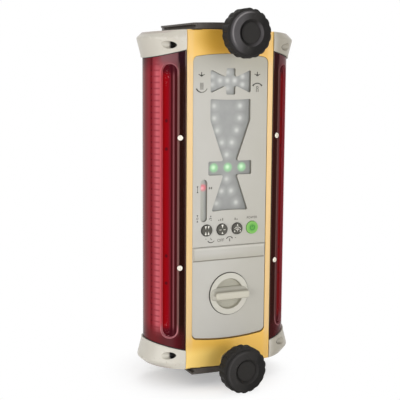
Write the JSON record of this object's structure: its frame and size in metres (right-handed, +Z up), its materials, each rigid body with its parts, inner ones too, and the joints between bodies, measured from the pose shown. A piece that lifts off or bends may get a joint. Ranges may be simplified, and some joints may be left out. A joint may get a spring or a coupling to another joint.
{
  "type": "machine-mounted laser receiver",
  "caption": "Upright machine-mounted laser receiver with red sensor windows, arrow display, push buttons, battery door with quarter-turn latch and knob-driven mast clamps.",
  "frame": {"origin": "on the mast's axis, halfway up the body", "axes": "+Z up along the mast, -Y out of the display towards the operator, +X to the operator's right"},
  "size_m": [0.1694, 0.1761, 0.382],
  "materials": {
    "yellow_shell": "satin moulded",
    "grey_casting": "painted casting",
    "red_window": "clear red filter",
    "seal_rubber": "matte",
    "bright_screws": "plated",
    "grey_panel": "fine grain",
    "smoky_lens": "smoky clear",
    "lamp": "diffused",
    "lit_green_lamp": "lit",
    "level_lamp": "diffused",
    "circuit_board": "solder mask",
    "photodiode": "moulded",
    "black_plastic": "moulded",
    "green_plastic": "moulded",
    "grey_grip": "moulded",
    "knob_plastic": "moulded",
    "cell": "wrapped",
    "contact": "plated",
    "steel": "plated",
    "black_metal": "black coated",
    "saddle_metal": "black coated"
  },
  "bodies": {
    "receiver": {"front_housing": "yellow_shell", "rear_housing": "yellow_shell", "top_cap": "grey_casting", "bottom_cap": "grey_casting", "left_window": "red_window", "right_window": "red_window", "window_seals": "seal_rubber", "saddle_liner": "seal_rubber", "window_screws": "bright_screws", "cap_screws": "bright_screws", "housing_screws": "bright_screws", "board_screws": "bright_screws", "sensor_screws": "bright_screws", "tray_screws": "bright_screws", "saddle_screws": "bright_screws", "display_panel": "grey_panel", "display_lens": "smoky_lens", "plumb_leds": "lamp", "grade_leds": "lamp", "on_grade_leds": "lit_green_lamp", "level_leds": "level_lamp", "control_board": "circuit_board", "left_sensor_board": "circuit_board", "right_sensor_board": "circuit_board", "left_photodiodes": "photodiode", "right_photodiodes": "photodiode", "key_switches": "black_plastic", "battery_tray": "black_plastic", "battery_cell_1": "cell", "battery_cell_2": "cell", "battery_cell_3": "cell", "battery_cell_4": "cell", "battery_contacts": "contact", "latch_keepers": "steel", "mast_saddle": "saddle_metal"},
    "upper_knob": {"top_knob": "knob_plastic", "top_knob_cap": "knob_plastic", "top_stud": "steel", "top_washer": "steel", "top_clip": "steel"},
    "lower_knob": {"bottom_knob": "knob_plastic", "bottom_knob_cap": "knob_plastic", "bottom_stud": "steel", "bottom_washer": "steel", "bottom_clip": "steel"},
    "upper_clamp": {"top_clamp_plate": "black_metal", "top_draw_nut": "steel", "top_nut_screws": "bright_screws"},
    "lower_clamp": {"bottom_clamp_plate": "black_metal", "bottom_draw_nut": "steel", "bottom_nut_screws": "bright_screws"},
    "door": {"battery_door": "grey_panel", "door_seal": "seal_rubber"},
    "latch": {"door_latch": "grey_grip", "latch_cam": "steel", "latch_screw": "bright_screws"},
    "left_key": {"left_button": "black_plastic"},
    "middle_key": {"middle_button": "black_plastic"},
    "right_key": {"right_button": "black_plastic"},
    "power_key": {"power_button": "green_plastic"}
  },
  "joints": [
    {"name": "upper_knob_turn", "type": "hinge", "parent": "receiver", "child": "upper_knob", "pos_m": [0, -0.10315, 0.167], "axis": [0, -1, 0], "range_deg": [0, 2880]},
    {"name": "upper_clamp_slide", "type": "slide", "parent": "receiver", "child": "upper_clamp", "axis": [0, 1, 0], "range_m": [0, 0.01]},
    {"name": "lower_knob_turn", "type": "hinge", "parent": "receiver", "child": "lower_knob", "pos_m": [0, -0.10315, -0.167], "axis": [0, -1, 0], "range_deg": [0, 2880]},
    {"name": "lower_clamp_slide", "type": "slide", "parent": "receiver", "child": "lower_clamp", "axis": [0, 1, 0], "range_m": [0, 0.01]},
    {"name": "door_lift", "type": "slide", "parent": "receiver", "child": "door", "axis": [0, -1, 0], "range_m": [0, 0.06]},
    {"name": "latch_turn", "type": "hinge", "parent": "door", "child": "latch", "pos_m": [0, -0.10315, -0.0962], "axis": [0, -1, 0], "range_deg": [0, 90]},
    {"name": "left_key_press", "type": "slide", "parent": "receiver", "child": "left_key", "axis": [0, 1, 0], "range_m": [0, 0.0008], "stiffness_N_per_m": 2500},
    {"name": "middle_key_press", "type": "slide", "parent": "receiver", "child": "middle_key", "axis": [0, 1, 0], "range_m": [0, 0.0008], "stiffness_N_per_m": 2500},
    {"name": "right_key_press", "type": "slide", "parent": "receiver", "child": "right_key", "axis": [0, 1, 0], "range_m": [0, 0.0008], "stiffness_N_per_m": 2500},
    {"name": "power_key_press", "type": "slide", "parent": "receiver", "child": "power_key", "axis": [0, 1, 0], "range_m": [0, 0.0008], "stiffness_N_per_m": 2500}
  ],
  "couplings": [
    {"joint": "upper_knob_turn", "follows": "upper_clamp_slide", "rad_per_m": 5026.5},
    {"joint": "lower_knob_turn", "follows": "lower_clamp_slide", "rad_per_m": 5026.5}
  ]
}
